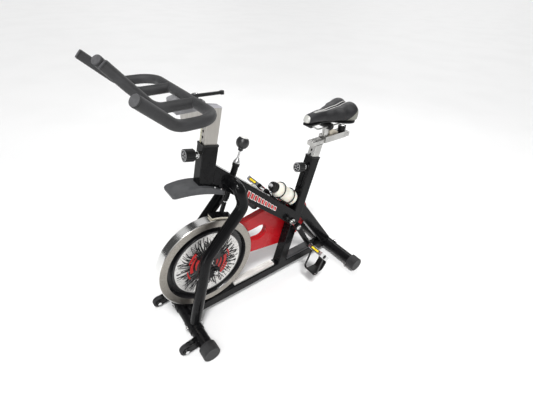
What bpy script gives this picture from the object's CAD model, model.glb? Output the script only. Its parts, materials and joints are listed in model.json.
import json
import math
import random

import bmesh
import bpy
from mathutils import Matrix, Vector
from mathutils.bvhtree import BVHTree


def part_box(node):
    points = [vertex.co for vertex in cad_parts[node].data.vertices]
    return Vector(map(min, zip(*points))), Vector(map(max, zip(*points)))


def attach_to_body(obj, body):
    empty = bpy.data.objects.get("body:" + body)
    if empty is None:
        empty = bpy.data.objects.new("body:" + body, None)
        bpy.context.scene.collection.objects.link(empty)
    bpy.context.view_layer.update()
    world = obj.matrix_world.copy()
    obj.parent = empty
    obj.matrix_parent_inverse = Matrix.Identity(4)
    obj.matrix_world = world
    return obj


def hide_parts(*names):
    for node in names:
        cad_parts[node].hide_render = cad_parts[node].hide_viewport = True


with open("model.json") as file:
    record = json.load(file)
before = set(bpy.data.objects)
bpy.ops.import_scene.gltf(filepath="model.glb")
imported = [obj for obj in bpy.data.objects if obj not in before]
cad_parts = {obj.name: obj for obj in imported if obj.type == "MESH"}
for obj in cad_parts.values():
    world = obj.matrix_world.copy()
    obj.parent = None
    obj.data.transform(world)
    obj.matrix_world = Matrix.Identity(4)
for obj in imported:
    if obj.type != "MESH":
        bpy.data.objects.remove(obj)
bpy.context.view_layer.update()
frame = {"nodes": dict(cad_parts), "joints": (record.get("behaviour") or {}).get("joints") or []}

# Looks of an indoor spin bike. Metres, in the row frame: +X forward, +Y the rider's left, +Z up.
# CAD nodes keep their meshes and get materials; the pieces added here ride on the CAD bodies.

NODES = frame["nodes"]
JOINTS = {joint["name"]: joint for joint in frame["joints"]}
MM = 0.001
SHIFT = 416.1  # millimetres from the drawing's x = 0, the front stabiliser, to the row's origin


def drawn(x, y, z):
    """A point of the CAD drawing, in its millimetres, as a point of the row frame."""
    return Vector(((x + SHIFT) * MM, y * MM, z * MM))


def joint_point(name):
    return Vector(JOINTS[name]["pos_m"])


def joint_axis(name):
    return Vector(JOINTS[name]["axis"]).normalized()


HUB = Vector((joint_point("flywheel_spin").x, 0, joint_point("flywheel_spin").z))
HEAD_UP = joint_axis("handlebar_height")
HEAD_FORE = joint_axis("head_pin_pull")
SEAT_FORE = joint_axis("seat_pin_pull")
SEAT_UP = joint_axis("seat_height")
HEAD_TOP = drawn(-173.5, 0, 878.5)
SEAT_TOP = drawn(-717, 0, 680)
BRAKE_UP = joint_axis("brake_push")
BEAM_UP_HILL = joint_axis("bottle_lift")
BEAM_DOWN = -BEAM_UP_HILL
BEAM_OVER = Vector((-BEAM_UP_HILL.z, 0, BEAM_UP_HILL.x))
BEAM_NOSE = drawn(-190, 0, 750)
BEAM_HALF_DEPTH = 0.035
BEAM_SIDE = 0.025
SIDEWAYS = Vector((0, 1, 0))
FORWARD = Vector((1, 0, 0))
UPRIGHT = Vector((0, 0, 1))


def beam_point(down, height, y=0.0):
    """Metres down the beam from its nose, above its top face, and to the side."""
    return BEAM_NOSE + BEAM_DOWN * down + BEAM_OVER * (BEAM_HALF_DEPTH + height) + SIDEWAYS * y


# ---- materials -----------------------------------------------------------------------------
class Surface:
    """A Principled material, built up with procedural nodes in object coordinates."""

    def __init__(self, name, color, metallic=0.0, roughness=0.5):
        self.material = bpy.data.materials.new(name)
        self.material.use_nodes = True
        self.tree = self.material.node_tree
        self.shader = self.tree.nodes["Principled BSDF"]
        self.color = self.rgb(color)
        self.rough = self.value(roughness)
        self.metal = self.value(metallic)
        self.place = self.tree.nodes.new("ShaderNodeTexCoord").outputs["Object"]
        self.normal = None

    def value(self, number):
        node = self.tree.nodes.new("ShaderNodeValue")
        node.outputs[0].default_value = number
        return node.outputs[0]

    def rgb(self, color):
        node = self.tree.nodes.new("ShaderNodeRGB")
        node.outputs[0].default_value = (*color, 1.0)
        return node.outputs[0]

    def feed(self, socket, value):
        if isinstance(value, bpy.types.NodeSocket):
            self.tree.links.new(value, socket)
        else:
            socket.default_value = value

    def math(self, operation, first, second=0.0):
        node = self.tree.nodes.new("ShaderNodeMath")
        node.operation = operation
        self.feed(node.inputs[0], first)
        self.feed(node.inputs[1], second)
        return node.outputs[0]

    def shifted(self, origin, stretch=(1.0, 1.0, 1.0)):
        """Object coordinates measured from a point, stretched along the axes."""
        node = self.tree.nodes.new("ShaderNodeMapping")
        self.feed(node.inputs["Vector"], self.place)
        node.inputs["Location"].default_value = [-o * s for o, s in zip(origin, stretch)]
        node.inputs["Scale"].default_value = stretch
        return node.outputs[0]

    def along(self, direction, origin=(0, 0, 0)):
        """Distance of a point from origin along a direction."""
        node = self.tree.nodes.new("ShaderNodeVectorMath")
        node.operation = "DOT_PRODUCT"
        self.feed(node.inputs[0], self.shifted(origin))
        node.inputs[1].default_value = tuple(direction)
        return node.outputs["Value"]

    def distance(self, origin, stretch=(1.0, 1.0, 1.0)):
        """Distance from a point; an axis stretched by zero is left out."""
        node = self.tree.nodes.new("ShaderNodeVectorMath")
        node.operation = "LENGTH"
        self.feed(node.inputs[0], self.shifted(origin, stretch))
        return node.outputs["Value"]

    def noise(self, scale, stretch=(1.0, 1.0, 1.0), detail=3.0, vector=None):
        node = self.tree.nodes.new("ShaderNodeTexNoise")
        self.feed(node.inputs["Vector"], vector or self.shifted((0, 0, 0), stretch))
        node.inputs["Scale"].default_value = scale
        node.inputs["Detail"].default_value = detail
        return node.outputs["Fac"]

    def cells(self, scale):
        node = self.tree.nodes.new("ShaderNodeTexVoronoi")
        self.feed(node.inputs["Vector"], self.place)
        node.inputs["Scale"].default_value = scale
        return node.outputs["Distance"]

    def step(self, value, low, high):
        """0 below low, 1 above high, smooth between them."""
        node = self.tree.nodes.new("ShaderNodeMapRange")
        node.interpolation_type = "SMOOTHSTEP"
        self.feed(node.inputs["Value"], value)
        node.inputs["From Min"].default_value = low
        node.inputs["From Max"].default_value = high
        return node.outputs["Result"]

    def mix_value(self, factor, first, second):
        node = self.tree.nodes.new("ShaderNodeMix")
        self.feed(node.inputs[0], factor)
        self.feed(node.inputs[2], first)
        self.feed(node.inputs[3], second)
        return node.outputs[0]

    def tint(self, factor, color):
        """Goes over to another colour where factor is 1."""
        node = self.tree.nodes.new("ShaderNodeMix")
        node.data_type = "RGBA"
        self.feed(node.inputs[0], factor)
        self.feed(node.inputs[6], self.color)
        node.inputs[7].default_value = (*color, 1.0)
        self.color = node.outputs[2]

    def zone(self, factor, color, metallic, roughness):
        """Another finish where factor is 1."""
        self.tint(factor, color)
        self.metal = self.mix_value(factor, self.metal, metallic)
        self.rough = self.mix_value(factor, self.rough, roughness)

    def vary(self, scale, color, rough_by, stretch=(1.0, 1.0, 1.0)):
        """Uneven colour and gloss, as use and handling leave them."""
        patch = self.step(self.noise(scale, stretch), 0.38, 0.68)
        self.tint(patch, color)
        self.rough = self.math("ADD", self.rough, self.math("MULTIPLY", patch, rough_by))

    def bump(self, height, strength, distance):
        node = self.tree.nodes.new("ShaderNodeBump")
        self.feed(node.inputs["Height"], height)
        node.inputs["Strength"].default_value = strength
        node.inputs["Distance"].default_value = distance
        if self.normal is not None:
            self.feed(node.inputs["Normal"], self.normal)
        self.normal = node.outputs["Normal"]

    def worn_edges(self, color, roughness, amount=0.6):
        """Edges rub lighter."""
        geometry = self.tree.nodes.new("ShaderNodeNewGeometry")
        edge = self.step(geometry.outputs["Pointiness"], 0.53, 0.62)
        edge = self.math("MULTIPLY", edge, self.step(self.noise(60.0), 0.35, 0.6))
        edge = self.math("MULTIPLY", edge, amount)
        self.tint(edge, color)
        self.rough = self.mix_value(edge, self.rough, roughness)

    def finish(self, **sockets):
        """Joins everything to the shader; uniform numbers go straight on its sockets."""
        self.feed(self.shader.inputs["Base Color"], self.color)
        self.feed(self.shader.inputs["Roughness"], self.rough)
        self.feed(self.shader.inputs["Metallic"], self.metal)
        if self.normal is not None:
            self.feed(self.shader.inputs["Normal"], self.normal)
        for name, number in sockets.items():
            self.shader.inputs[name.replace("_", " ")].default_value = number
        return self.material


def gloss_paint(name, color, lighter, roughness=0.2):
    """Powder coat: faint orange peel, uneven gloss, rubbed edges."""
    s = Surface(name, color, 0.0, roughness)
    s.vary(9.0, lighter, 0.04)
    s.bump(s.noise(420.0, detail=2.0), 0.06, 0.0004)
    s.worn_edges([c * 2 + 0.01 for c in color], 0.3, 0.25)
    return s.finish(Specular_IOR_Level=0.10, Coat_Weight=0.06, Coat_Roughness=0.04)


def moulded_plastic(name, color, lighter, roughness=0.45, grain=900.0):
    """Moulded plastic or rubber with a fine spark-eroded grain."""
    s = Surface(name, color, 0.0, roughness)
    s.vary(14.0, lighter, 0.08)
    s.bump(s.noise(grain, detail=2.0), 0.25, 0.0004)
    s.worn_edges([c * 1.5 + 0.008 for c in color], roughness + 0.08, 0.35)
    return s.finish(Specular_IOR_Level=0.25)


def brushed_metal(name, color, darker, roughness, stretch, grain=160.0, metallic=1.0):
    """Metal with its brushing drawn along one axis."""
    s = Surface(name, color, metallic, roughness)
    brushing = s.noise(grain, stretch, detail=4.0)
    s.tint(s.step(brushing, 0.35, 0.75), darker)
    s.vary(7.0, darker, 0.1)
    s.bump(brushing, 0.08, 0.0003)
    return s.finish()


def plated_metal(name, color, roughness=0.1):
    """Bright plating with handling marks."""
    s = Surface(name, color, 1.0, roughness)
    s.vary(22.0, [c * 0.86 for c in color], 0.09)
    s.bump(s.noise(55.0, detail=2.0), 0.05, 0.0006)
    return s.finish()


def foam_sleeve(name):
    """Closed-cell foam: matt, finely pitted."""
    s = Surface(name, (0.020, 0.020, 0.021), 0.0, 0.55)
    s.vary(16.0, (0.030, 0.030, 0.032), 0.08)
    s.bump(s.noise(1100.0, detail=3.0), 0.45, 0.0007)
    return s.finish(Sheen_Weight=0.06, Sheen_Roughness=0.5, Specular_IOR_Level=0.4)


WHEEL_R = 0.226
RIM_INNER_R = 0.192


def flywheel_metal():
    """Turned steel: a bright tread, a machined side ring and a black painted well."""
    s = Surface("flywheel_metal", (0.36, 0.335, 0.30), 1.0, 0.36)
    radius = s.distance(HUB, (1.0, 0.0, 1.0))
    rings = s.noise(900.0, vector=combine(s, radius), detail=2.0)
    s.tint(s.step(rings, 0.35, 0.7), (0.40, 0.38, 0.345))
    grit = s.step(s.noise(480.0, detail=3.0), 0.44, 0.60)
    s.tint(s.math("MULTIPLY", grit, 0.55), (0.17, 0.16, 0.14))
    s.bump(rings, 0.12, 0.0004)
    s.bump(grit, 0.12, 0.0003)
    well = s.step(radius, RIM_INNER_R + 0.002, RIM_INNER_R)
    s.zone(well, (0.012, 0.012, 0.013), 0.0, 0.22)
    tread = s.step(radius, WHEEL_R - 0.0025, WHEEL_R - 0.0008)
    s.zone(tread, (0.86, 0.86, 0.85), 1.0, 0.09)
    return s.finish()


def combine(s, value):
    """A vector with one number in it, so that noise runs in rings."""
    node = s.tree.nodes.new("ShaderNodeCombineXYZ")
    s.feed(node.inputs[0], value)
    return node.outputs[0]


def disc_metal():
    """The wheel's side disc: silver, flecked outwards from the hub."""
    s = Surface("disc_metal", (0.74, 0.73, 0.71), 0.55, 0.34)
    flecks = s.noise(210.0, detail=4.0)
    s.tint(s.step(flecks, 0.54, 0.66), (0.20, 0.195, 0.19))
    s.bump(flecks, 0.2, 0.0006)
    radius = s.distance(HUB, (1.0, 0.0, 1.0))
    ragged = s.math("ADD", radius, s.math("MULTIPLY", s.noise(46.0), 0.030))
    s.zone(s.step(ragged, 0.104, 0.094), (0.022, 0.021, 0.020), 0.2, 0.32)
    s.zone(s.step(radius, 0.158, 0.161), (0.010, 0.010, 0.011), 0.0, 0.22)
    return s.finish()


def saddle_vinyl(nose_plane, corner_planes):
    """Grained black vinyl with light panels at the nose and the lower rear corners."""
    s = Surface("saddle_vinyl", (0.006, 0.006, 0.007), 0.0, 0.50)
    s.vary(11.0, (0.010, 0.010, 0.012), 0.06)
    grain = s.cells(620.0)
    s.bump(grain, 0.35, 0.0009)
    s.bump(s.noise(90.0), 0.15, 0.001)
    origin, direction = nose_plane
    s.zone(s.step(s.along(direction, origin), 0.0, 0.0012), (0.56, 0.56, 0.53), 0.25, 0.36)
    for origin, direction in corner_planes:
        s.zone(s.step(s.along(direction, origin), 0.0, 0.0012), (0.22, 0.22, 0.19), 0.3, 0.38)
    return s.finish(Sheen_Weight=0.06, Sheen_Roughness=0.4)


def wool_felt():
    s = Surface("wool_felt", (0.62, 0.56, 0.44), 0.0, 0.95)
    fibres = s.noise(700.0, (1.0, 0.35, 1.0), detail=5.0)
    s.tint(s.step(fibres, 0.35, 0.7), (0.74, 0.69, 0.57))
    s.bump(fibres, 0.8, 0.0012)
    return s.finish(Sheen_Weight=0.5, Sheen_Roughness=0.6)


def milky_plastic():
    """The bottle's squeezable wall."""
    s = Surface("milky_plastic", (0.80, 0.78, 0.71), 0.0, 0.34)
    s.vary(18.0, (0.72, 0.69, 0.60), 0.1)
    s.bump(s.noise(300.0, detail=2.0), 0.12, 0.0006)
    return s.finish(Subsurface_Weight=0.15, Subsurface_Scale=0.01)


def brake_knob_surface():
    """A black ball on a bright threaded rod: one solid, two finishes."""
    centre = ball_centre()
    s = Surface("brake_knob_surface", (0.70, 0.70, 0.70), 1.0, 0.16)
    s.bump(s.math("SINE", s.math("MULTIPLY", s.along(BRAKE_UP), 4200.0)), 0.25, 0.0003)
    s.zone(s.step(s.distance(centre), 0.0365, 0.035), (0.014, 0.014, 0.015), 0.0, 0.3)
    return s.finish()


def ball_centre():
    """The brake ball's centre, from the top of its CAD node."""
    low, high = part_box("brake_knob")
    radius = (high.y - low.y) / 2
    rise = high.z - radius
    return HUB + BRAKE_UP * ((rise - HUB.z) / BRAKE_UP.z)


def post_metal():
    """The handlebar post: brushed silver that darkens towards its collar."""
    s = Surface("post_metal", (0.50, 0.485, 0.46), 1.0, 0.33)
    brushing = s.noise(170.0, (1.0, 1.0, 0.06), detail=4.0)
    s.tint(s.step(brushing, 0.35, 0.75), (0.38, 0.365, 0.34))
    s.vary(6.0, (0.42, 0.40, 0.37), 0.08)
    s.bump(brushing, 0.1, 0.0003)
    return s.finish()


def red_shell():
    s = Surface("red_shell", (0.46, 0.006, 0.012), 0.0, 0.24)
    s.vary(7.0, (0.43, 0.005, 0.010), 0.04)
    s.bump(s.noise(500.0, detail=2.0), 0.05, 0.0003)
    s.worn_edges((0.52, 0.03, 0.03), 0.3, 0.15)
    return s.finish(Specular_IOR_Level=0.25, Coat_Weight=0.1, Coat_Roughness=0.08)


def pale_floor():
    s = Surface("pale_floor", (0.86, 0.86, 0.86), 0.0, 0.55)
    s.vary(1.2, (0.84, 0.84, 0.84), 0.03)
    return s.finish()


BLACK = gloss_paint("black_powder_coat", (0.0035, 0.0035, 0.004), (0.005, 0.005, 0.0055), 0.13)
RUBBER = moulded_plastic("grey_rubber", (0.022, 0.022, 0.023), (0.034, 0.034, 0.035), 0.45, 700.0)
GREY_PLASTIC = moulded_plastic("grey_plastic", (0.060, 0.061, 0.064), (0.078, 0.079, 0.082), 0.42)
COVER_PLASTIC = moulded_plastic("cover_plastic", (0.035, 0.035, 0.037), (0.05, 0.05, 0.052), 0.4)
BLACK_PLASTIC = moulded_plastic("black_plastic", (0.008, 0.008, 0.0085), (0.013, 0.013, 0.014), 0.34)
TYRE = moulded_plastic("roller_rubber", (0.018, 0.018, 0.019), (0.03, 0.03, 0.031), 0.55)
BELT = moulded_plastic("belt_rubber", (0.012, 0.012, 0.013), (0.02, 0.02, 0.02), 0.6)
BRACKET_GREY = gloss_paint("bracket_grey", (0.17, 0.17, 0.176), (0.2, 0.2, 0.206), 0.34)
ZINC = plated_metal("zinc_plate", (0.60, 0.60, 0.585), 0.26)
CHROME = plated_metal("chrome_plate", (0.70, 0.70, 0.70), 0.08)
SATIN_CHROME = plated_metal("satin_chrome", (0.52, 0.515, 0.50), 0.2)
TREAD = brushed_metal("tread_metal", (0.86, 0.85, 0.82), (0.62, 0.61, 0.58), 0.3, (0.08, 1.0, 1.0),
                      metallic=0.35)
POST = post_metal()
FOAM = foam_sleeve("grip_foam")
PLUG_GREY = moulded_plastic("plug_grey_plastic", (0.075, 0.075, 0.078), (0.10, 0.10, 0.104), 0.5)
LIGHT_GREY = moulded_plastic("light_grey_plastic", (0.42, 0.42, 0.43), (0.48, 0.48, 0.49), 0.4)
CAP_PLASTIC = moulded_plastic("cap_plastic", (0.36, 0.355, 0.385), (0.42, 0.415, 0.44), 0.42)
SILVER = moulded_plastic("silver_trim", (0.60, 0.60, 0.58), (0.68, 0.68, 0.66), 0.3)
AMBER = moulded_plastic("amber_reflector", (0.88, 0.62, 0.02), (0.95, 0.74, 0.06), 0.2, 1500.0)
PRINT_RED = moulded_plastic("printed_red", (0.50, 0.03, 0.03), (0.42, 0.02, 0.02), 0.35)
PRINT_WHITE = moulded_plastic("printed_white", (0.75, 0.73, 0.71), (0.68, 0.66, 0.64), 0.35)
SCALE_YELLOW = moulded_plastic("scale_strip", (0.62, 0.60, 0.44), (0.55, 0.53, 0.38), 0.45)
RED = red_shell()
CREAM = moulded_plastic("cream_plastic", (0.66, 0.60, 0.50), (0.58, 0.53, 0.44), 0.45)
BOTTLE = milky_plastic()

NODE_LOOKS = {
    BLACK: ["main_beam", "rear_beam", "head_tube", "seat_tube", "base_tube", "fork_tubes",
            "stabiliser_saddle_plates", "stabiliser_tubes", "transport_wheel_brackets",
            "axle_dropouts", "bottom_bracket_shell", "crank_arms", "brake_shoe", "chainring",
            "bottle_cage", "brake_guide_tube"],
    RUBBER: ["stabiliser_end_caps"],
    ZINC: ["flywheel_axle", "flywheel_bearings", "bottom_bracket_bearings", "crank_axle",
           "guard_screws", "pin_barrels", "brake_plunger", "saddle_rails"],
    CHROME: ["axle_hardware", "crank_hardware", "pedal_left", "pedal_right", "frame_bolts"],
    SATIN_CHROME: ["saddle_slider", "seat_post"],
    TYRE: ["transport_wheel_left", "transport_wheel_right"],
    BLACK_PLASTIC: ["toe_cage_left", "toe_cage_right", "head_pin_knob", "seat_pin_knob",
                    "post_sleeves", "clamp_lever", "slider_knob", "saddle_clamp",
                    "saddle_shell", "flywheel_hub"],
    GREY_PLASTIC: ["sweat_guard"],
    COVER_PLASTIC: ["rear_step_cover"],
    TREAD: ["step_plate"],
    BELT: ["drive_belt"],
    RED: ["guard_inner_shell", "guard_outer_shell"],
    POST: ["handlebar_post"],
    BRACKET_GREY: ["handlebar_bracket"],
    FOAM: ["handlebar"],
}


def paint_node(name, material):
    mesh = NODES[name].data
    if not mesh.materials:
        mesh.materials.append(material)
    for place in range(len(mesh.materials)):
        mesh.materials[place] = material


def paint_cad_nodes():
    for material, names in NODE_LOOKS.items():
        for name in names:
            paint_node(name, material)
    paint_node("flywheel", flywheel_metal())
    paint_node("flywheel_side_discs", disc_metal())
    paint_node("brake_pad", wool_felt())
    paint_node("brake_knob", brake_knob_surface())


# ---- mesh helpers --------------------------------------------------------------------------
SHARP = math.radians(38)


def piece(name, verts, faces, material, body, sharp=SHARP):
    """A mesh piece that rides on a CAD body."""
    mesh = bpy.data.meshes.new(name)
    mesh.from_pydata([tuple(v) for v in verts], [], faces)
    tidy_mesh(mesh)
    return attach(name, mesh, material, body, sharp)


def tidy_mesh(mesh):
    bm = bmesh.new()
    bm.from_mesh(mesh)
    bmesh.ops.remove_doubles(bm, verts=bm.verts, dist=1e-6)
    bmesh.ops.recalc_face_normals(bm, faces=bm.faces)
    bm.to_mesh(mesh)
    bm.free()


def attach(name, mesh, material, body, sharp=SHARP):
    mesh.materials.clear()
    mesh.materials.append(material)
    mesh.shade_smooth()
    mesh.set_sharp_from_angle(angle=sharp)
    obj = bpy.data.objects.new(name, mesh)
    bpy.context.scene.collection.objects.link(obj)
    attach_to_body(obj, body)
    return obj


def across(direction):
    """Two unit vectors square to a direction."""
    direction = direction.normalized()
    helper = SIDEWAYS if abs(direction.y) < 0.9 else Vector((1, 0, 0))
    first = direction.cross(helper).normalized()
    return first, direction.cross(first).normalized()


class Shape:
    """Vertices and faces collected from several closed forms, made into one piece."""

    def __init__(self):
        self.verts = []
        self.faces = []

    def add(self, verts, faces):
        start = len(self.verts)
        self.verts += verts
        self.faces += [tuple(i + start for i in face) for face in faces]

    def rings(self, rings, closed=False):
        """Skin over rings of equal length, capped at both ends unless closed on itself."""
        count = len(rings[0])
        verts = [v for ring in rings for v in ring]
        faces = []
        turns = len(rings) if closed else len(rings) - 1
        for r in range(turns):
            a, b = r * count, ((r + 1) % len(rings)) * count
            for i in range(count):
                j = (i + 1) % count
                faces.append((a + i, a + j, b + j, b + i))
        if not closed:
            faces.append(tuple(range(count))[::-1])
            faces.append(tuple(range(len(verts) - count, len(verts))))
        self.add(verts, faces)

    def lathe(self, start, direction, profile, segments=40):
        """A turned form. profile: (distance along, radius), both in metres."""
        direction = direction.normalized()
        u, v = across(direction)
        rings = []
        for along, radius in profile:
            radius = max(radius, 1e-5)
            centre = start + direction * along
            turn = [2 * math.pi * i / segments for i in range(segments)]
            rings.append([centre + (u * math.cos(a) + v * math.sin(a)) * radius for a in turn])
        self.rings(rings)

    def tube(self, points, radius, segments=10, closed=False):
        """A round wire through points."""
        rings = []
        count = len(points)
        u = None
        for i, point in enumerate(points):
            before = points[i - 1] if i or closed else point
            after = points[(i + 1) % count] if i < count - 1 or closed else point
            tangent = (after - before).normalized()
            if u is None:
                u = across(tangent)[0]
            u = (u - tangent * u.dot(tangent)).normalized()
            v = tangent.cross(u)
            turn = [2 * math.pi * k / segments for k in range(segments)]
            rings.append([point + (u * math.cos(a) + v * math.sin(a)) * radius for a in turn])
        self.rings(rings, closed)

    def plate(self, outline, origin, u, v, thickness, edge=0.0):
        """A flat plate from a 2D outline, its upper edge drawn in by a small bevel."""
        normal = u.cross(v).normalized()
        middle = [sum(c) / len(outline) for c in zip(*outline)]
        low = [origin + u * a + v * b for a, b in outline]
        high = [p + normal * (thickness - edge) for p in low]
        rings = [low, high]
        if edge:
            inner = []
            for a, b in outline:
                reach = math.hypot(a - middle[0], b - middle[1])
                share = max(0.0, 1 - edge / reach)
                x, y = middle[0] + (a - middle[0]) * share, middle[1] + (b - middle[1]) * share
                inner.append(origin + u * x + v * y + normal * thickness)
            rings.append(inner)
        self.rings(rings)

    def piece(self, name, material, body, slot, sharp=SHARP):
        return piece(name, self.verts, self.faces, material, body, sharp)


def rounded_rectangle(width, height, radius, steps=6):
    points = []
    for cx, cy, start in ((1, 1, 0), (-1, 1, 90), (-1, -1, 180), (1, -1, 270)):
        for i in range(steps + 1):
            a = math.radians(start + 90 * i / steps)
            points.append((cx * (width / 2 - radius) + radius * math.cos(a),
                           cy * (height / 2 - radius) + radius * math.sin(a)))
    return points


def turned_rings(start, direction, profile, segments):
    """Circles about an axis, for a hollow ring: skin over them closed on itself."""
    direction = direction.normalized()
    u, v = across(direction)
    turn = [2 * math.pi * i / segments for i in range(segments)]
    return [[start + direction * along + (u * math.cos(a) + v * math.sin(a)) * radius for a in turn]
            for along, radius in profile]


def smooth_through(knots, value):
    """Smooth interpolation through (position, value) knots."""
    if value <= knots[0][0]:
        return knots[0][1]
    for (x0, y0), (x1, y1) in zip(knots, knots[1:]):
        if value <= x1:
            t = (value - x0) / (x1 - x0)
            t = t * t * (3 - 2 * t)
            return y0 + (y1 - y0) * t
    return knots[-1][1]


# ---- saddle --------------------------------------------------------------------------------
SADDLE_STATIONS = 46
SADDLE_RING = 56
HALF_WIDTHS = [(0.0, 0.020), (0.045, 0.027), (0.10, 0.032), (0.15, 0.048), (0.20, 0.072),
               (0.245, 0.081), (0.292, 0.078)]
CROWN_HEIGHTS = [(0.0, 0.887), (0.02, 0.895), (0.10, 0.900), (0.19, 0.906), (0.25, 0.9165), (0.292, 0.911)]
LOWER_EDGES = [(0.0, 0.861), (0.15, 0.856), (0.292, 0.847)]
SKIRT_DROPS = [(0.06, 0.0), (0.16, 0.013), (0.292, 0.009)]
LOBES = [(0.13, 0.0), (0.23, 0.007), (0.292, 0.006)]
GROOVES = [(0.03, 0.0), (0.08, 0.005), (0.15, 0.012), (0.24, 0.014), (0.292, 0.012)]
LOBE_Y = 0.044


def saddle_ring(distance, shrink):
    """One cross-section of the pad, that far back from the nose."""
    half = smooth_through(HALF_WIDTHS, distance) * shrink
    crown = smooth_through(CROWN_HEIGHTS, distance)
    low = smooth_through(LOWER_EDGES, distance)
    middle = low + (crown - low) * 0.42
    crown = middle + (crown - middle) * shrink
    low = middle - (middle - low) * shrink
    ring = []
    for i in range(SADDLE_RING):
        a = 2 * math.pi * i / SADDLE_RING
        c, s = math.cos(a), math.sin(a)
        y = half * math.copysign(abs(c) ** 0.72, c)
        if s >= 0:
            z = middle + (crown - middle) * s ** 0.66
            lift = smooth_through(LOBES, distance) * math.exp(-((abs(y) - LOBE_Y) / 0.024) ** 2)
            groove = smooth_through(GROOVES, distance) * math.exp(-(y / 0.0105) ** 2)
            z += (lift - groove) * s ** 0.5 * shrink
        else:
            skirt = smooth_through(SKIRT_DROPS, distance) * (abs(y) / max(half, 1e-4)) ** 4
            z = middle - (middle - low) * (-s) ** 0.45 - skirt * shrink * min(1.0, -s * 3)
        ring.append((y, z))
    return ring


def saddle_form():
    """The pad before it is inflated."""
    low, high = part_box("saddle_cover")
    length = high.x - low.x
    round_nose, round_rear = 0.030, 0.040
    rings = []
    for k in range(SADDLE_STATIONS):
        share = 0.5 - 0.5 * math.cos(math.pi * (0.02 + 0.96 * k / (SADDLE_STATIONS - 1)))
        distance = share * length
        shrink = 1.0
        if distance < round_nose:
            shrink = math.sqrt(max(0.0, 1 - (1 - distance / round_nose) ** 2))
        if length - distance < round_rear:
            shrink = math.sqrt(max(0.0, 1 - (1 - (length - distance) / round_rear) ** 2.4))
        x = high.x - distance
        rings.append([Vector((x, y, z)) for y, z in saddle_ring(distance, max(shrink, 0.08))])
    shape = Shape()
    shape.rings(rings)
    return shape


def inflate(obj, voxel, pressure, frames, cap):
    """Swells a closed mesh as cloth under pressure; no point moves further than cap."""
    remesh = obj.modifiers.new("remesh", "REMESH")
    remesh.mode = "VOXEL"
    remesh.voxel_size = voxel
    bake_modifiers(obj)
    rest = [v.co.copy() for v in obj.data.vertices]
    cloth = obj.modifiers.new("cloth", "CLOTH")
    cloth.settings.use_pressure = True
    cloth.settings.uniform_pressure_force = pressure
    cloth.settings.effector_weights.gravity = 0.0
    scene = bpy.context.scene
    for number in range(1, frames + 1):
        scene.frame_set(number)
    bake_modifiers(obj)
    scene.frame_set(1)
    for vertex, start in zip(obj.data.vertices, rest):
        move = vertex.co - start
        if move.length > cap:
            vertex.co = start + move.normalized() * cap


def bake_modifiers(obj):
    """Replaces the mesh with its modified self and drops the modifiers."""
    depsgraph = bpy.context.evaluated_depsgraph_get()
    mesh = bpy.data.meshes.new_from_object(obj.evaluated_get(depsgraph))
    obj.modifiers.clear()
    obj.data = mesh


def relax(obj, factor, repeat):
    smooth = obj.modifiers.new("smooth", "SMOOTH")
    smooth.factor = factor
    smooth.iterations = repeat
    bake_modifiers(obj)


def make_saddle():
    low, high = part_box("saddle_cover")
    shape = saddle_form()
    mesh = bpy.data.meshes.new("saddle_pad")
    mesh.from_pydata([tuple(v) for v in shape.verts], [], shape.faces)
    tidy_mesh(mesh)
    pad = bpy.data.objects.new("saddle_pad", mesh)
    bpy.context.scene.collection.objects.link(pad)
    inflate(pad, 0.0045, 4.0, 20, 0.004)
    relax(pad, 0.5, 3)
    divide = pad.modifiers.new("divide", "SUBSURF")
    divide.levels = divide.render_levels = 1
    bake_modifiers(pad)
    nose = (Vector((high.x - 0.022, 0, high.z - 0.035)), Vector((0.97, 0, 0.24)).normalized())
    corners = [(Vector((low.x + 0.055, 0, low.z + 0.028)), Vector((-0.62, way * 0.12, -0.78)).normalized())
               for way in (1, -1)]
    pad.data.materials.clear()
    pad.data.materials.append(saddle_vinyl(nose, corners))
    pad.data.shade_smooth()
    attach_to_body(pad, "saddle")
    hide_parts("saddle_cover")
    saddle_piping(pad, low, high)


def saddle_piping(pad, low, high):
    """Silver piping along the groove and round the nose patch, laid on the finished pad."""
    tree = BVHTree.FromPolygons([v.co for v in pad.data.vertices],
                                [p.vertices[:] for p in pad.data.polygons])
    shape = Shape()
    for way in (1, -1):
        points = []
        for i in range(34):
            x = low.x + 0.016 + (high.x - low.x - 0.075) * i / 33
            spread = smooth_through([(0.0, 0.0105), (0.12, 0.0085), (0.22, 0.004)], x - low.x)
            hit = tree.ray_cast(Vector((x, way * spread, high.z + 0.1)), Vector((0, 0, -1)))[0]
            if hit:
                points.append(hit + Vector((0, 0, 0.0002)))
        shape.tube(points, 0.0017, 8)
    shape.piece("saddle_piping", SILVER, "saddle", "saddle_vinyl")


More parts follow.
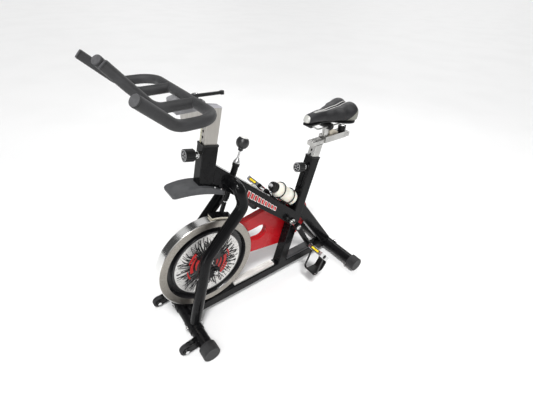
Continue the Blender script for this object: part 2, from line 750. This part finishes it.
# ---- bottle --------------------------------------------------------------------------------
def make_bottle():
    """A squeeze bottle: ribbed wall, shoulder, screw cap with grips, and a push-pull nozzle."""
    tip, base = beam_point(0.300, 0.044), beam_point(0.486, 0.044)
    length = (base - tip).length
    wall = [(0.0405, 0.0), (0.0405, 0.0242), (0.046, 0.0252), (0.052, 0.0300), (0.060, 0.0345),
            (0.070, 0.0362)]
    for i in range(3):
        ridge = 0.082 + 0.011 * i
        wall += [(ridge, 0.0362), (ridge + 0.002, 0.0350), (ridge + 0.005, 0.0350), (ridge + 0.007, 0.0362)]
    wall += [(length - 0.030, 0.0363), (length - 0.027, 0.0352), (length - 0.021, 0.0352),
             (length - 0.018, 0.0363), (length - 0.006, 0.0363), (length - 0.002, 0.0350),
             (length, 0.0320), (length - 0.004, 0.0240), (length - 0.005, 0.0)]
    shape = Shape()
    shape.lathe(tip, BEAM_DOWN, wall, 56)
    body = shape.piece("bottle_wall", BOTTLE, "drink_bottle", "bottle_white")
    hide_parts("bottle")
    cap = Shape()
    cap.lathe(tip, BEAM_DOWN, [(0.012, 0.0), (0.012, 0.0150), (0.016, 0.0215), (0.021, 0.0232),
                               (0.034, 0.0235), (0.036, 0.0252), (0.0405, 0.0255), (0.0405, 0.0)], 48)
    u, v = across(BEAM_DOWN)
    for i in range(24):
        a = 2 * math.pi * i / 24
        out = u * math.cos(a) + v * math.sin(a)
        grip_start = tip + BEAM_DOWN * 0.0225 + out * 0.0233
        cap.tube([grip_start, tip + BEAM_DOWN * 0.0335 + out * 0.0236], 0.0009, 6)
    cap.piece("bottle_cap", BLACK_PLASTIC, "drink_bottle", "black_plastic")
    collar = Shape()
    collar.lathe(tip, BEAM_DOWN, [(0.0, 0.0), (0.0, 0.0056), (0.0015, 0.0070), (0.0045, 0.0072),
                                  (0.006, 0.0054), (0.0095, 0.0054), (0.011, 0.0078), (0.013, 0.0080),
                                  (0.013, 0.0)], 32)
    collar.piece("bottle_nozzle", LIGHT_GREY, "drink_bottle", "bottle_white")


# ---- handlebar, posts and knobs ------------------------------------------------------------
DECAL = 0.0001  # thickness of the post's scale and of its marks: both slide into the sleeve
BAR_ENDS = [(drawn(25, side * bend, 1069), drawn(x, side * y, z))
            for side in (1, -1)
            for bend, x, y, z in ((236, 123, 268, 1160), (88, 120, 33, 1185))]


def make_bar_plugs():
    """Domed end plugs and the seams where the foam sleeves begin."""
    plugs = Shape()
    for foot, tip in BAR_ENDS:
        out = (tip - foot).normalized()
        plugs.lathe(tip, out, [(-0.004, 0.0), (-0.004, 0.0135), (0.0, 0.0135), (0.0003, 0.0152),
                               (0.002, 0.0156), (0.0035, 0.0145), (0.0042, 0.0120), (0.0046, 0.0)], 40)
    plugs.piece("handlebar_end_plugs", PLUG_GREY, "handlebar_assembly", "foam_grip")
    seams = Shape()
    for foot, tip in BAR_ENDS:
        out = (tip - foot).normalized()
        seams.rings(turned_rings(tip, out, [(-0.0045, 0.0155), (-0.0040, 0.0162), (-0.0030, 0.0162),
                                            (-0.0025, 0.0155)], 40), closed=True)
    seams.piece("handlebar_foam_collars", BLACK_PLASTIC, "handlebar_assembly", "foam_grip")


def make_post_details():
    """The post's plastic top, its height scale, and the chrome rims of the sleeves."""
    top = HEAD_TOP + HEAD_UP * 0.138
    cap = Shape()
    outline = rounded_rectangle(0.0525, 0.0425, 0.005)
    cap.plate(outline, top - HEAD_UP * 0.0004, HEAD_FORE, SIDEWAYS, 0.0036, 0.0015)
    cap.piece("post_top_cap", CAP_PLASTIC, "handlebar_column", "black_plastic")
    face = HEAD_TOP + HEAD_FORE * 0.026
    strip = Shape()
    strip.plate(rounded_rectangle(0.009, 0.118, 0.001, 2), face + HEAD_UP * 0.064 - SIDEWAYS * 0.0125,
                SIDEWAYS, HEAD_UP, DECAL)
    strip.piece("height_scale_strip", SCALE_YELLOW, "handlebar_column", "brushed_post")
    ticks = Shape()
    for i in range(12):
        length = 0.006 if i % 3 == 0 else 0.0035
        place = face + HEAD_FORE * DECAL + HEAD_UP * (0.010 + 0.0098 * i) - SIDEWAYS * 0.0125
        half = length / 2
        ticks.plate([(-half, -0.0006), (half, -0.0006), (half, 0.0006), (-half, 0.0006)],
                    place, SIDEWAYS, HEAD_UP, DECAL)
    ticks.piece("height_scale_marks", BLACK_PLASTIC, "handlebar_column", "brushed_post")


def make_knob_face(name, top, up, fore, drop, depth, body):
    """The moulded face of a pull knob: a ring, a five-armed star and a domed cap."""
    base = top - up * drop + fore * (depth / 2 + 0.020 + 0.003 + 0.036)
    u, v = across(fore)
    ring = Shape()
    ring_profile = [(-0.001, 0.0182), (-0.001, 0.0202), (0.0008, 0.0202), (0.0012, 0.0197), (0.0012, 0.0187),
                    (0.0008, 0.0182)]
    ring.rings(turned_rings(base, fore, ring_profile, 48), closed=True)
    for i in range(5):
        a = 2 * math.pi * i / 5
        out = u * math.cos(a) + v * math.sin(a)
        side = v * math.cos(a) - u * math.sin(a)
        blade = [(0.005, -0.0018), (0.0150, -0.0007), (0.0150, 0.0007), (0.005, 0.0018)]
        ring.plate(blade, base, out, side, 0.0012, 0.0003)
    ring.piece(name, LIGHT_GREY, body, "black_plastic")


def make_pin_necks():
    """Chrome nuts and rims where the pins' barrels and the sleeves meet the tubes."""
    shape = Shape()
    seats = [(HEAD_TOP, HEAD_UP, HEAD_FORE, 0.038, 0.062),
             (SEAT_TOP, SEAT_UP, SEAT_FORE, 0.054, 0.054)]
    for top, up, fore, drop, depth in seats:
        start = top - up * drop + fore * (depth / 2)
        u, v = across(fore)
        corners = [math.radians(60 * i) for i in range(6)]
        nut = [(0.0142 * math.cos(a), 0.0142 * math.sin(a)) for a in corners]
        shape.plate(nut, start, u, v, 0.008, 0.0012)
        shape.lathe(start, fore, [(0.008, 0.0101), (0.008, 0.0112), (0.011, 0.0118), (0.019, 0.0118),
                                  (0.020, 0.0101)], 32)
    shape.piece("pin_barrel_nuts", CHROME, "frame", "chrome_bright")


# ---- flywheel details ----------------------------------------------------------------------
STRANDS = 190
# generic curved blades: start angle and sweep in degrees, inner and outer radius in metres
ACCENT_BLADES = [(start + turn, sweep, inner, outer)
                 for turn in (-8, 172)
                 for start, sweep, inner, outer in ((0, 58, 0.076, 0.090), (52, -50, 0.056, 0.067),
                                                    (4, 40, 0.038, 0.047), (66, -34, 0.093, 0.104),
                                                    (-14, 26, 0.098, 0.106))]


def make_flywheel_details():
    """Raised strands that fan out from the hub, a two-part accent ring and the hub's bolts."""
    source = random.Random(7)
    strands = Shape()
    accent = Shape()
    bolts = Shape()
    for way in (1, -1):
        face = way * 0.0200
        for i in range(STRANDS):
            a = 2 * math.pi * (i + source.uniform(-0.3, 0.3)) / STRANDS
            start = source.uniform(0.060, 0.085)
            stop = source.uniform(0.112, 0.155)
            bend = source.uniform(-0.14, 0.14)
            points = []
            for k in range(6):
                t = k / 5
                r = start + (stop - start) * t
                b = a + bend * t * t
                points.append(HUB + Vector((r * math.cos(b), face, r * math.sin(b))))
            strands.tube(points, source.uniform(0.0009, 0.0024), 6)
        for start, sweep, inner, outer in ACCENT_BLADES:
            first = math.radians(start)
            arc_band(accent, face, inner, outer, first, first + math.radians(sweep), way * 0.0024)
        for i in range(5):
            a = 2 * math.pi * i / 5
            place = HUB + Vector((0.022 * math.cos(a), way * 0.030, 0.022 * math.sin(a)))
            bolts.lathe(place, SIDEWAYS * way, [(0.0, 0.0), (0.0, 0.0036), (0.0022, 0.0036), (0.0030, 0.0028),
                                                (0.0030, 0.0017), (0.0018, 0.0015), (0.0018, 0.0)], 18)
    strands.piece("flywheel_strands", BLACK_PLASTIC, "flywheel_wheel", "disc_silver")
    accent.piece("flywheel_accent", PRINT_RED, "flywheel_wheel", "disc_silver")
    bolts.piece("flywheel_hub_bolts", ZINC, "flywheel_wheel", "steel_zinc")


def arc_band(shape, face, inner, outer, start, stop, thickness, steps=22):
    """A flat band about the hub's axis that tapers towards its end."""
    ring = []
    for i in range(steps + 1):
        t = i / steps
        a = start + (stop - start) * t
        half = (outer - inner) / 2 * (1 - 0.75 * t * t)
        middle = (inner + outer) / 2
        quad = []
        for r, y in ((middle - half, face), (middle + half, face), (middle + half, face + thickness),
                     (middle - half, face + thickness)):
            quad.append(HUB + Vector((r * math.cos(a), y, r * math.sin(a))))
        ring.append(quad)
    shape.rings(ring)


# ---- graphics, guard, pedals, small parts ----------------------------------------------------
BARS = 9
BARS_START = 0.190
BARS_PITCH = 0.0252


def slanted_bar(start, width, height, slant=0.009):
    """Outline of a leaning bar: distance down the beam and height over its middle."""
    low, high = -height / 2 - 0.002, height / 2 - 0.002
    return [(start, low), (start + width, low), (start + width - slant, high), (start - slant, high)]


def make_beam_graphic():
    """Plain slanted bars on both sides of the beam, in place of any lettering."""
    red = Shape()
    white = Shape()
    for way in (1, -1):
        origin = BEAM_NOSE + SIDEWAYS * (way * BEAM_SIDE)
        for i in range(BARS):
            start = BARS_START + BARS_PITCH * i
            height = 0.030 - 0.0012 * i
            white.plate(slanted_bar(start, 0.019, height), origin, BEAM_DOWN, BEAM_OVER * way, 0.0003)
            red.plate(slanted_bar(start + 0.0022, 0.0146, height - 0.005), origin + SIDEWAYS * (way * 0.0003),
                      BEAM_DOWN, BEAM_OVER * way, 0.0002)
    red.piece("beam_bars_red", PRINT_RED, "frame", "red_guard")
    white.piece("beam_bars_white", PRINT_WHITE, "frame", "bottle_white")


def hull_outline(front, rear, steps=40):
    """Points round two circles of one plane, (x, z, radius), joined by their tangents."""
    x0, z0, r0 = front
    x1, z1, r1 = rear
    gap = math.hypot(x1 - x0, z1 - z0)
    base = math.atan2(z1 - z0, x1 - x0)
    spread = math.acos((r0 - r1) / gap)
    points = []
    for i in range(steps + 1):
        a = base + spread + (2 * math.pi - 2 * spread) * i / steps
        points.append((x0 + r0 * math.cos(a), z0 + r0 * math.sin(a)))
    for i in range(steps + 1):
        a = base - spread + 2 * spread * i / steps
        points.append((x1 + r1 * math.cos(a), z1 + r1 * math.sin(a)))
    return points


def make_guard_trim():
    """The dark joint between the guard's shells, outside and inside the slot, and a rim bead."""
    seam = Shape()
    outside = hull_outline((-125, 327, 61.2), (-608, 325, 142.2))
    slot = hull_outline((-330, 325, 31.8), (-437, 325, 41.8))
    for outline in (outside, slot):
        seam.tube([drawn(x, -44, z) for x, z in outline], 0.0009, 8, closed=True)
    seam.piece("guard_seam", BLACK_PLASTIC, "frame", "black_plastic")
    bead = Shape()
    bead.tube([drawn(x, -28.6, z) for x, z in outside], 0.0012, 8, closed=True)
    for y in (-28.4, -59.6):
        lip = hull_outline((-330, 325, 33), (-437, 325, 43))
        bead.tube([drawn(x, y, z) for x, z in lip], 0.0014, 8, closed=True)
    bead.piece("guard_rim_bead", RED, "frame", "red_guard")


PEDALS = (("left", 1), ("right", -1))
PEDAL_HANG = 129.0
PEDAL_HALF = 0.046


def make_pedal_details():
    """Amber reflectors in dark frames on each pedal's two plates, and the bearings' caps."""
    hang = Matrix.Rotation(math.radians(PEDAL_HANG), 3, "Y")
    for name, side in PEDALS:
        centre = joint_point(f"{name}_pedal_spin")
        middle = Vector((centre.x, side * 0.160, centre.z))
        reflectors = Shape()
        frames = Shape()
        for way in (1, -1):
            out = hang @ Vector((way, 0, 0))
            u, v = SIDEWAYS, hang @ Vector((0, 0, way))
            face = middle + out * PEDAL_HALF
            frames.plate(rounded_rectangle(0.054, 0.0145, 0.003), face, u, v, 0.0012, 0.0004)
            for i in (-1, 1):
                place = face + u * (i * 0.0122) + out * 0.0012
                reflectors.plate(rounded_rectangle(0.0225, 0.0095, 0.002), place, u, v, 0.0016, 0.0006)
        frames.piece(f"reflector_frames_{name}", BLACK_PLASTIC, f"{name}_pedal", "black_plastic")
        reflectors.piece(f"reflectors_{name}", AMBER, f"{name}_pedal", "chrome_bright")
        cap = Shape()
        cap.lathe(Vector((centre.x, side * 0.204, centre.z)), SIDEWAYS * side,
                  [(0.0, 0.0), (0.0, 0.0105), (0.002, 0.0105), (0.0035, 0.0085), (0.004, 0.0)], 32)
        cap.piece(f"pedal_bearing_cap_{name}", BLACK_PLASTIC, f"{name}_pedal", "black_plastic")


def make_brake_cap():
    """The bright cap let into the top of the brake's ball."""
    centre = ball_centre()
    radius = 0.0263
    angles = [math.radians(38 - 38 * i / 10) for i in range(11)]
    profile = [(radius * math.cos(a), radius * math.sin(a)) for a in angles]
    rim = profile[0]
    shape = Shape()
    shape.lathe(centre, BRAKE_UP, [(rim[0] - 0.002, 0.0), (rim[0] - 0.002, rim[1])] + profile, 40)
    shape.piece("brake_ball_cap", SILVER, "brake_ball", "chrome_bright")
    collar = Shape()
    start = HUB + BRAKE_UP * 0.476
    collar.lathe(start, BRAKE_UP, [(0.0, 0.0056), (0.0, 0.0150), (0.004, 0.0150), (0.014, 0.0088),
                                   (0.018, 0.0078), (0.018, 0.0056)], 40)
    collar.piece("brake_guide_nut", CHROME, "frame", "chrome_bright")


def make_cap_ribs():
    """Grip ribs and a moulded disc on each stabiliser end cap."""
    shape = Shape()
    for x in (0.0, -928.0):
        for side in (1, -1):
            centre = drawn(x, side * 248, 38)
            out = SIDEWAYS * side
            for back in (0.040, 0.044):
                shape.lathe(centre, out, [(-back, 0.0380), (-back, 0.0388), (-back + 0.002, 0.0388),
                                          (-back + 0.002, 0.0380)], 56)
    shape.verts = [Vector((v.x, v.y, max(v.z, 0.0))) for v in shape.verts]
    return shape


def make_seat_gusset():
    """A narrow strip welded to the front of the seat tube under its knob."""
    top = SEAT_TOP
    up = SEAT_UP
    face = top + SEAT_FORE * 0.027
    shape = Shape()
    shape.plate(rounded_rectangle(0.012, 0.150, 0.003, 3), face - up * 0.155, SIDEWAYS, up, 0.004, 0.0015)
    shape.piece("seat_tube_strip", BLACK, "frame", "black_paint")


def make_crank_caps():
    """Chrome dust caps with a hex socket on the crank bolts."""
    shape = Shape()
    centre = joint_point("crank_spin")
    for side in (1, -1):
        start = Vector((centre.x, side * 0.081, centre.z))
        shape.lathe(start, SIDEWAYS * side, [(0.0, 0.0), (0.0, 0.0125), (0.0014, 0.0125), (0.0030, 0.0105),
                                             (0.0036, 0.0048), (0.0016, 0.0044), (0.0016, 0.0)], 36)
    shape.piece("crank_dust_caps", CHROME, "crankset", "chrome_bright")


def make_lever_bolt():
    """The bright screw that holds the ratchet lever on its stud."""
    start = drawn(-139, 0, 1064)
    shape = Shape()
    shape.lathe(start, UPRIGHT, [(0.0, 0.0), (0.0, 0.0068), (0.0015, 0.0068), (0.0030, 0.0050),
                                 (0.0033, 0.0022), (0.0016, 0.0020), (0.0016, 0.0)], 28)
    shape.piece("lever_screw", CHROME, "handlebar_lever", "chrome_bright")


def make_slider_details():
    """The cream wear block beside the stub and the hand knob's bright insert."""
    shape = Shape()
    stub = drawn(-832, 0, 776)
    for face in (0.013, -0.009):
        outline = [(-0.028, 0.0005), (0.030, 0.0005), (0.036, 0.020), (0.020, 0.026), (-0.018, 0.008)]
        shape.plate(outline, stub + SIDEWAYS * face, FORWARD, UPRIGHT, 0.004, 0.001)
    shape.piece("slider_wear_blocks", CREAM, "saddle_carriage", "bottle_white")
    insert = Shape()
    insert.lathe(drawn(-893, 0, 799), UPRIGHT, [(0.0, 0.0), (0.0, 0.0120), (0.0010, 0.0120),
                                                (0.0020, 0.0100), (0.0024, 0.0)], 36)
    insert.piece("slider_knob_insert", CHROME, "carriage_knob", "chrome_bright")


# ---- camera, light, floor ------------------------------------------------------------------
AZIMUTH, ELEVATION, ROLL = (math.radians(a) for a in (142.114, 34.635, 2.412))
FOCAL_MM = 22.24


def make_camera():
    level = math.cos(ELEVATION)
    back = Vector((math.sin(AZIMUTH) * level, -math.cos(AZIMUTH) * level, math.sin(ELEVATION)))
    right = UPRIGHT.cross(back).normalized()
    up = back.cross(right)
    rolled_right = right * math.cos(ROLL) + up * math.sin(ROLL)
    rolled_up = up * math.cos(ROLL) - right * math.sin(ROLL)
    data = bpy.data.cameras.new("camera")
    data.lens = FOCAL_MM
    data.sensor_width = 36.0
    camera = bpy.data.objects.new("camera", data)
    turn = Matrix((rolled_right, rolled_up, back)).transposed().to_4x4()
    camera.matrix_world = Matrix.Translation(drawn(317.7, 986.5, 1393.3)) @ turn
    bpy.context.scene.collection.objects.link(camera)
    bpy.context.scene.camera = camera


def area_light(name, place, target, size, energy, color=(1, 1, 1)):
    data = bpy.data.lights.new(name, "AREA")
    data.shape = "RECTANGLE"
    data.size, data.size_y = size
    data.energy = energy
    data.color = color
    light = bpy.data.objects.new(name, data)
    light.location = place
    light.rotation_euler = (Vector(target) - Vector(place)).to_track_quat("-Z", "Y").to_euler()
    bpy.context.scene.collection.objects.link(light)


def sun_light(name, place, angle, strength):
    """An even light over the whole floor, from the direction of a point."""
    data = bpy.data.lights.new(name, "SUN")
    data.angle = angle
    data.energy = strength
    light = bpy.data.objects.new(name, data)
    light.rotation_euler = Vector(place).to_track_quat("Z", "Y").to_euler()
    bpy.context.scene.collection.objects.link(light)


def make_stage():
    shape = Shape()
    shape.plate(rounded_rectangle(160.0, 160.0, 10.0), Vector((0, 0, -0.0205)), FORWARD, SIDEWAYS, 0.02)
    mesh = bpy.data.meshes.new("floor")
    mesh.from_pydata([tuple(v) for v in shape.verts], [], shape.faces)
    mesh.materials.append(pale_floor())
    floor = bpy.data.objects.new("floor", mesh)
    bpy.context.scene.collection.objects.link(floor)
    bpy.context.scene.world = studio_world()
    sun_light("sun", (0.5, 0.9, 2.2), math.radians(14), 2.7)
    area_light("key", (1.5, 1.7, 2.6), (0, 0, 0.6), (1.6, 0.5), 22.0)
    area_light("rim", (-2.0, -1.2, 2.4), (0, 0, 0.6), (1.8, 0.5), 22.0)
    area_light("front", (3.0, 0.9, 0.8), (0, 0, 0.5), (0.4, 1.6), 12.0)
    bpy.context.scene.view_settings.view_transform = "Standard"


PANELS = 9
PANEL_DARK, PANEL_BRIGHT = 0.07, 0.62


def panel_strength(tree):
    """Strength of the room by direction: upright bright panels with dark gaps between them."""
    place = tree.nodes.new("ShaderNodeTexCoord")
    split = tree.nodes.new("ShaderNodeSeparateXYZ")
    tree.links.new(place.outputs["Generated"], split.inputs[0])
    turn = tree.nodes.new("ShaderNodeMath")
    turn.operation = "ARCTAN2"
    tree.links.new(split.outputs["Y"], turn.inputs[0])
    tree.links.new(split.outputs["X"], turn.inputs[1])
    count = tree.nodes.new("ShaderNodeMath")
    count.operation = "MULTIPLY"
    tree.links.new(turn.outputs[0], count.inputs[0])
    count.inputs[1].default_value = PANELS
    wave = tree.nodes.new("ShaderNodeMath")
    wave.operation = "SINE"
    tree.links.new(count.outputs[0], wave.inputs[0])
    strength = tree.nodes.new("ShaderNodeMapRange")
    strength.interpolation_type = "SMOOTHSTEP"
    tree.links.new(wave.outputs[0], strength.inputs["Value"])
    strength.inputs["From Min"].default_value = -0.35
    strength.inputs["From Max"].default_value = 0.35
    strength.inputs["To Min"].default_value = PANEL_DARK
    strength.inputs["To Max"].default_value = PANEL_BRIGHT
    return strength.outputs["Result"]


def studio_world():
    """A white backdrop for the camera that lights and reflects as a dimmer room."""
    world = bpy.data.worlds.new("studio")
    world.use_nodes = True
    tree = world.node_tree
    backdrop = tree.nodes["Background"]
    backdrop.inputs[0].default_value = (1.0, 1.0, 1.0, 1.0)
    backdrop.inputs[1].default_value = 1.0
    room = tree.nodes.new("ShaderNodeBackground")
    room.inputs[0].default_value = (1.0, 1.0, 1.0, 1.0)
    tree.links.new(panel_strength(tree), room.inputs[1])
    path = tree.nodes.new("ShaderNodeLightPath")
    mixer = tree.nodes.new("ShaderNodeMixShader")
    tree.links.new(path.outputs["Is Camera Ray"], mixer.inputs[0])
    tree.links.new(room.outputs[0], mixer.inputs[1])
    tree.links.new(backdrop.outputs[0], mixer.inputs[2])
    tree.links.new(mixer.outputs[0], tree.nodes["World Output"].inputs["Surface"])
    return world


# ---- everything ----------------------------------------------------------------------------
make_camera()
make_stage()
paint_cad_nodes()
make_saddle()
make_bottle()
make_bar_plugs()
make_post_details()
make_knob_face("head_knob_face", HEAD_TOP, HEAD_UP, HEAD_FORE, 0.038, 0.062, "head_pin")
make_knob_face("seat_knob_face", SEAT_TOP, SEAT_UP, SEAT_FORE, 0.054, 0.054, "seat_pin")
make_pin_necks()
make_flywheel_details()
make_beam_graphic()
make_guard_trim()
make_pedal_details()
make_brake_cap()
make_cap_ribs().piece("end_cap_ribs", RUBBER, "frame", "rubber_grey")
make_seat_gusset()
make_crank_caps()
make_lever_bolt()
make_slider_details()
